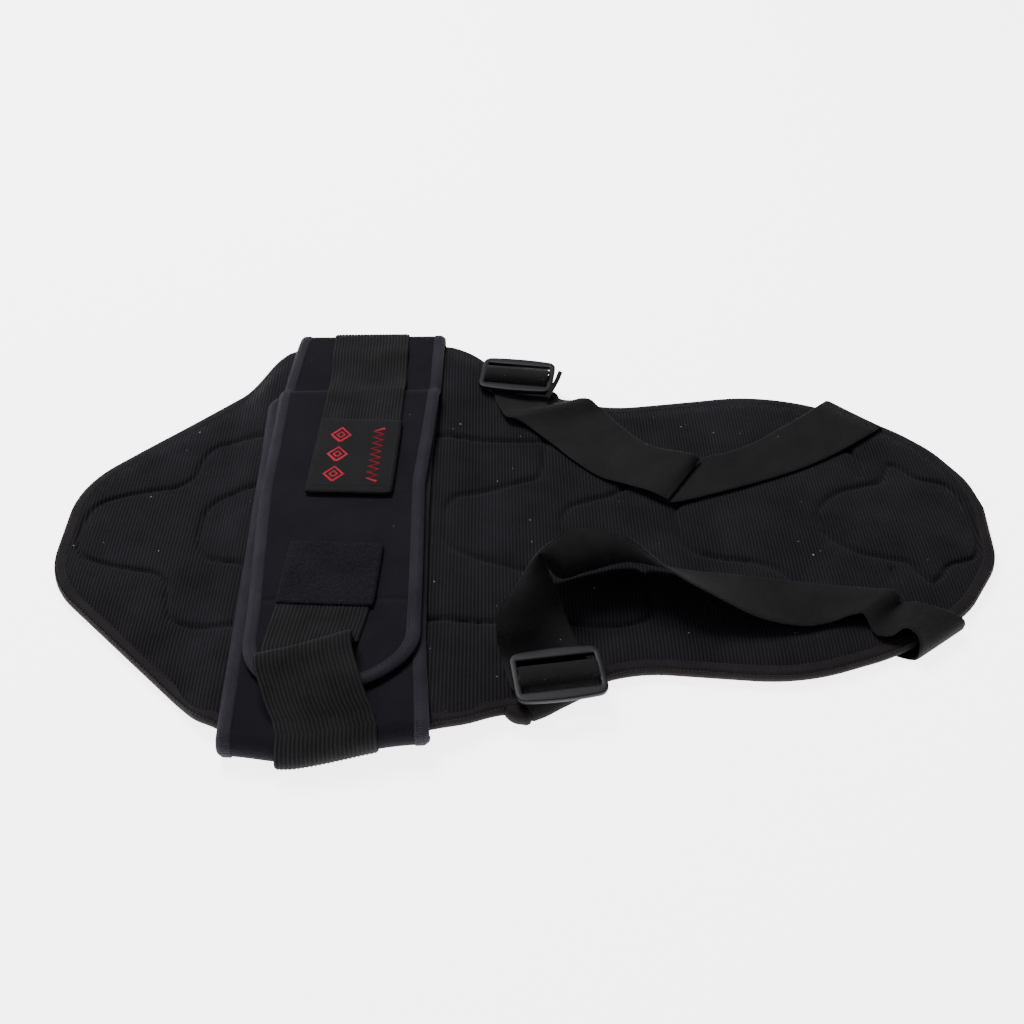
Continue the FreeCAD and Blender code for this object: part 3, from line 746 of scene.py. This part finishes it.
NEAR_LOWER = [
    (92, -98, 0.8, 131, -80, 0.8), (98, -122, 0.8, 137, -104, 0.8),
    (101, 1.0 - edge(101), 0.9, 140, 1.0 - edge(140), 0.9),
    (103.4, -edge(102.6, 5.4), 2.2, 141.6, -edge(141.6, 2.2), 2.4),
    (103.8, -edge(102.8, 7.2), 4.2, 141.8, -edge(141.8, 2.6), 5.2),
    (102.4, -edge(101.6, 3.6), 8.8, 140.6, -edge(140.6, 1.6), 9.2),
    (95.2, -131.0, 11.3, 138.8, -118.5, 11.3), (91.6, -120, 11.4, 135.5, -113, 11.3),
    (89.2, -107.5, 12.0, 132.4, -102.5, 11.5), (87.0, -101.0, 17.8, 128.5, -94.5, 14.0),
    (86.6, -95.5, 29.0, 124.6, -84.0, 16.4), (88.8, -91.0, 36.5, 119.6, -67.5, 22.0),
    (97.0, -84.5, 44.6, 114.6, -53.0, 25.0), (109.8, -65.5, 51.2, 110.8, -38.0, 22.6),
    (123.5, -54.0, 54.0, 120.5, -46.0, 11.6), (136.0, -50.5, 53.0, 137.0, -41.6, 11.2),
    (158.0, -52.0, 46.8, 160.0, -35.6, 12.4), (175.0, -66.0, 40.5, 182.0, -40.0, 12.2),
    (190.0, -75.0, 35.5, 201.0, -44.0, 12.0),
]
NEAR_UPPER = [
    (190.0, -75.0, 35.5, 201.0, -44.0, 12.0), (208.0, -80.5, 27.0, 219.0, -46.0, 12.2),
    (227.0, -85.0, 19.0, 236.0, -49.0, 12.2), (250.0, -86.0, 13.5, 256.0, -52.5, 12.0),
    (266.0, -82.5, 12.6, 279.0, -56.6, 12.8), (278.0, -79.8, 15.4, 295.0, -62.0, 16.4),
    (282.8, -80.4, 16.0, 302.6, -65.6, 19.0), (285.0, -83.8, 13.4, 304.2, -66.8, 17.6),
    (287.4, -90.4, 11.2, 305.6, -67.8, 13.6), (293.5, -93.2, 12.4, 307.5, -68.8, 12.8),
    (300.5, -91.6, 17.2, 313.5, -70.0, 14.6), (306.0, -94.0, 17.2, 324.0, -73.6, 14.0),
    (309.0, -98.0, 13.4, 333.5, -77.0, 12.4), (308.5, -101.3, 10.2, 338.0, -79.4, 10.4),
    (308.6, -102.0, 6.0, 339.4, -80.4, 6.0), (307.8, -100.8, 2.2, 338.6, -79.2, 2.2),
    (301.5, -98.0, 0.9, 334.0, -77.0, 0.9), (286.5, -79.5, 0.8, 319.0, -58.0, 0.8),
]
FAR_LOWER = [
    (78, 108, 0.8, 117, 88, 0.8), (85, 128, 0.8, 124, 108, 0.8),
    (87.5, edge(87.5, -1.0), 0.9, 127.5, edge(127.5, -1.0), 0.9),
    (89, edge(89, 2.4), 2.2, 129, edge(129, 2.4), 2.2), (89, edge(89, 3.4), 5.2, 129, edge(129, 3.4), 5.2),
    (88, edge(88, 1.6), 9.4, 127.4, edge(127.4, 1.6), 9.4), (85.5, 134, 11.3, 125.4, 121.5, 11.4),
    (84.6, 121, 11.3, 124.5, 118.5, 11.4), (87.4, 110, 11.4, 129.5, 114.5, 11.4),
    (91.2, 98.5, 12.2, 138.5, 111.0, 13.0), (94.6, 92.2, 13.6, 144.0, 108.6, 16.6),
    (99.4, 91.2, 13.8, 148.0, 106.4, 17.4), (104.8, 88.4, 12.8, 151.6, 103.6, 15.4),
    (112.6, 81.0, 11.4, 156, 100.5, 12.8), (122, 70.0, 11.0, 160.5, 95.0, 12.0),
    (136, 52, 11.2, 168.5, 82.5, 12.2), (152, 36.5, 11.4, 178.5, 69.5, 13.0),
    (163.0, 31.0, 12.2, 186.0, 61.5, 14.8), (172.0, 25.5, 13.4, 195.0, 55.8, 17.0),
    (178.5, 21.0, 14.6, 204.5, 51.5, 18.2), (184.0, 17.2, 14.4, 209.0, 49.6, 17.6),
    (188.2, 14.8, 13.2, 211.6, 50.4, 14.6),
]
FAR_UPPER = [
    (178, 22.5, 10.9, 198, 58.6, 11.2), (184, 17.6, 10.9, 206, 55.0, 11.4),
    (190.0, 14.4, 11.3, 212.5, 53.5, 11.8), (200, 16.4, 11.2, 219.0, 56.0, 11.9),
    (214, 21, 11.0, 228, 58.5, 12.0), (243, 31.5, 11.0, 246, 67, 12.0),
    (272, 43.5, 11.0, 266, 82, 11.6), (297, 58, 11.0, 286, 97.5, 11.4), (328, 80.5, 11.0, 299, 108.5, 11.0),
    (331.6, 84.2, 10.0, 302.4, 112.0, 10.0), (332.8, 85.6, 6.0, 303.6, 113.4, 6.0),
    (332.0, 84.6, 2.2, 302.8, 112.4, 2.2), (330, 82.4, 0.9, 300.8, 110.2, 0.9), (313, 65, 0.8, 284, 92, 0.8),
]
for tag, lower, upper, lower_long, upper_long in (
        ("near", NEAR_LOWER, NEAR_UPPER, 0.32, 0.20), ("far", FAR_LOWER, FAR_UPPER, 0.26, 0.22)):
    first, second = (
        strip(tag + "_shoulder_band_" + part, rows, SHOULDER_ELASTIC, SMOOTH, "strap", cols=16, wavy=0.25)
        for part, rows in (("lower", lower), ("upper", upper)))
    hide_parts(tag + "_shoulder_strap", tag + "_lower_anchor")
    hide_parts(tag + "_upper_anchor")
    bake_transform(first)
    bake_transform(second)


def tape_end(name, centre, size, material):
    """Bulky folded end of an edge tape."""
    around = np.linspace(0, 2 * math.pi, 21)[:-1]
    tilt = np.linspace(-math.pi / 2, math.pi / 2, 11)[1:-1, None]
    wide = signed_power(np.cos(tilt), 0.75)
    ball = np.dstack([wide * signed_power(np.cos(around), 0.75), wide * signed_power(np.sin(around), 0.75),
                      signed_power(np.sin(tilt), 0.75) * np.ones(20)])
    verts = ball.reshape(-1, 3) * size + centre
    verts = verts + 0.5 * ripple(verts, 3.0, 8)[:, None]
    return make(name, verts, tube_faces(9, 20), material)


knot = tape_end("panel_tape_end", (97.0, -edge(97.0, 3.2), 4.8), (7.0, 4.2, 4.2), PANEL_TAPE)
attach(knot, ROOT)


# ------------------------------------------------------------------ sliders
SLIDER_WIDE, SLIDER_LONG, SLIDER_CORNER = 48, 31, 3.0
RIM_HALF, BAR_HALF = 1.55, 1.35          # half heights of the frame's rim and of its middle bar
WRAP_HALF = 20.5                         # half width of the strap round the middle bar
WRAP_YZ = [(-9.2, -3.0), (-7.6, -1.6), (-6.2, 0.9), (-4.2, 3.0), (-1.6, 3.9)]
WRAP_YZ += [(-y, z) for y, z in WRAP_YZ[::-1]]


def slider(tag, centre, turn):
    """Tri-glide frame: a rounded rim swept round a rounded rectangle, and a middle bar."""
    wide, long, corner = SLIDER_WIDE / 2 - 1.9, SLIDER_LONG / 2 - 2.4, SLIDER_CORNER
    corners = [(0, -long, 0), (wide, -long, corner), (wide, long, corner), (-wide, long, corner),
               (-wide, -long, corner), (0, -long, 0)]
    path = resample(rounded(corners, 0.6), 121)[:-1]
    run = unit(np.roll(path, -1, 0) - np.roll(path, 1, 0))
    out = np.stack([run[:, 1], -run[:, 0]], 1)
    angle = np.linspace(0, 2 * math.pi, 20, endpoint=False)
    section = signed_power(np.stack([np.cos(angle), np.sin(angle)], 1), 2 / 5.5)
    on_long_bar = np.abs(out[:, 1:2]) ** 2
    bow = 0.7 * on_long_bar * (1 - (path[:, :1] / wide) ** 2)
    broad = 1.75 + 0.75 * on_long_bar + bow
    rings = np.zeros((len(path), len(section), 3))
    rings[..., :2] = path[:, None] + out[:, None] * (section[None, :, :1] * broad[:, None] + bow[:, None])
    rings[..., 2] = section[None, :, 1] * RIM_HALF
    verts = rings.reshape(-1, 3).tolist()
    along = np.linspace(-21.4, 21.4, 24)
    faces = (tube_faces(len(path), len(section), closed=True)
             + tube_faces(len(along), len(section), first=len(verts)))
    for x in along:
        flare = 1 + 0.35 * smooth((abs(x) - 18.5) / 3)
        verts += [(x, a * 1.9 * flare, b * BAR_HALF) for a, b in section]
    piece = make(tag + "_slider_moulding", turned(verts, centre, turn), faces, PLASTIC,
                 rigid=True)
    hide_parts(tag + "_slider")
    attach(piece, tag + "_slider_frame")
    rows = [turned([(-WRAP_HALF, y, z), (WRAP_HALF, y, z)], centre, turn).ravel() for y, z in WRAP_YZ]
    loop = strip(tag + "_slider_wrap", rows, SHOULDER_ELASTIC, SMOOTH, "strap", cols=16, spacing=1.0,
                 rigid=True)
    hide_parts(tag + "_slider_loop")
    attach(loop, tag + "_slider_carriage")


slider("near", (118, -119, 15.9), 7.5)
slider("far", (101.6, 132.2, 17.2), -9.0)

TAIL = [(120.0, 106.5, 19.5, 120.1, 114.0, 12.5), (124.4, 117.0, 19.5, 124.5, 124.5, 12.5),
        (127.8, 126.0, 19.6, 127.9, 133.5, 12.6), (130.0, 133.5, 19.8, 130.1, 141.0, 12.8)]
tail = strip("far_strap_tail", TAIL, 2.9, SMOOTH, "strap", cols=6, spacing=1.5, rigid=True)
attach(tail, "far_arm_loop")


# ------------------------------------------------------------------ studio
FLOOR_HALF = 6                            # metres, like all lengths below
LAMPS = (("key", (-0.4, 0.85, 1.5), 48, 0.7), ("fill", (-1.4, -0.4, 1.0), 5, 0.9))          # place, W, size
LAMP_AIM = (0.1, 0, 0)
CAMERA_AT = (0.0881, -0.5255, 0.5085)
CAMERA_TURN = (47, 0, -0.87)              # degrees
SENSOR_MM, LENS_MM = 36.0, 43.7


def studio():
    """White table, soft lamps and the photograph's camera."""
    world = bpy.data.worlds.new("studio")
    bpy.context.scene.world = world
    world.use_nodes = True
    sky = world.node_tree.nodes["Background"]
    sky.inputs["Color"].default_value = (0.97, 0.98, 1.0, 1)
    sky.inputs["Strength"].default_value = 0.30
    material, nt, bsdf = surface("pale_floor", Roughness=0.9, Emission_Strength=4.2)
    bsdf.inputs["Emission Color"].default_value = (1, 1, 1, 1)
    dust = texture(nt, node(nt, "TexCoord").outputs["Object"], "Noise", Scale=3.0, Detail=2.0)
    colour = mixed(nt, dust.outputs["Fac"], (0.90, 0.90, 0.90, 1), (0.93, 0.93, 0.93, 1))
    nt.links.new(colour, bsdf.inputs["Base Color"])
    mesh = bpy.data.meshes.new("floor")
    corners = [(a * FLOOR_HALF, b * FLOOR_HALF, 0) for a, b in ((-1, -1), (1, -1), (1, 1), (-1, 1))]
    mesh.from_pydata(corners, [], [(0, 1, 2, 3)])
    mesh.materials.append(material)
    floor = bpy.data.objects.new("floor", mesh)
    bpy.context.scene.collection.objects.link(floor)
    for name, place, power, size in LAMPS:
        light = bpy.data.lights.new(name, "AREA")
        light.energy, light.size = power, size
        lamp = bpy.data.objects.new(name, light)
        lamp.location = place
        lamp.rotation_mode = "QUATERNION"
        lamp.rotation_quaternion = (Vector(LAMP_AIM) - Vector(place)).to_track_quat("-Z", "Y")
        bpy.context.scene.collection.objects.link(lamp)
    camera = bpy.data.cameras.new("camera")
    camera.sensor_width, camera.lens = SENSOR_MM, LENS_MM
    camera.clip_start, camera.clip_end = 0.01, 30
    eye = bpy.data.objects.new("camera", camera)
    eye.location = CAMERA_AT
    eye.rotation_euler = [math.radians(angle) for angle in CAMERA_TURN]
    bpy.context.scene.collection.objects.link(eye)
    bpy.context.scene.camera = eye


studio()

bpy.context.view_layer.update()
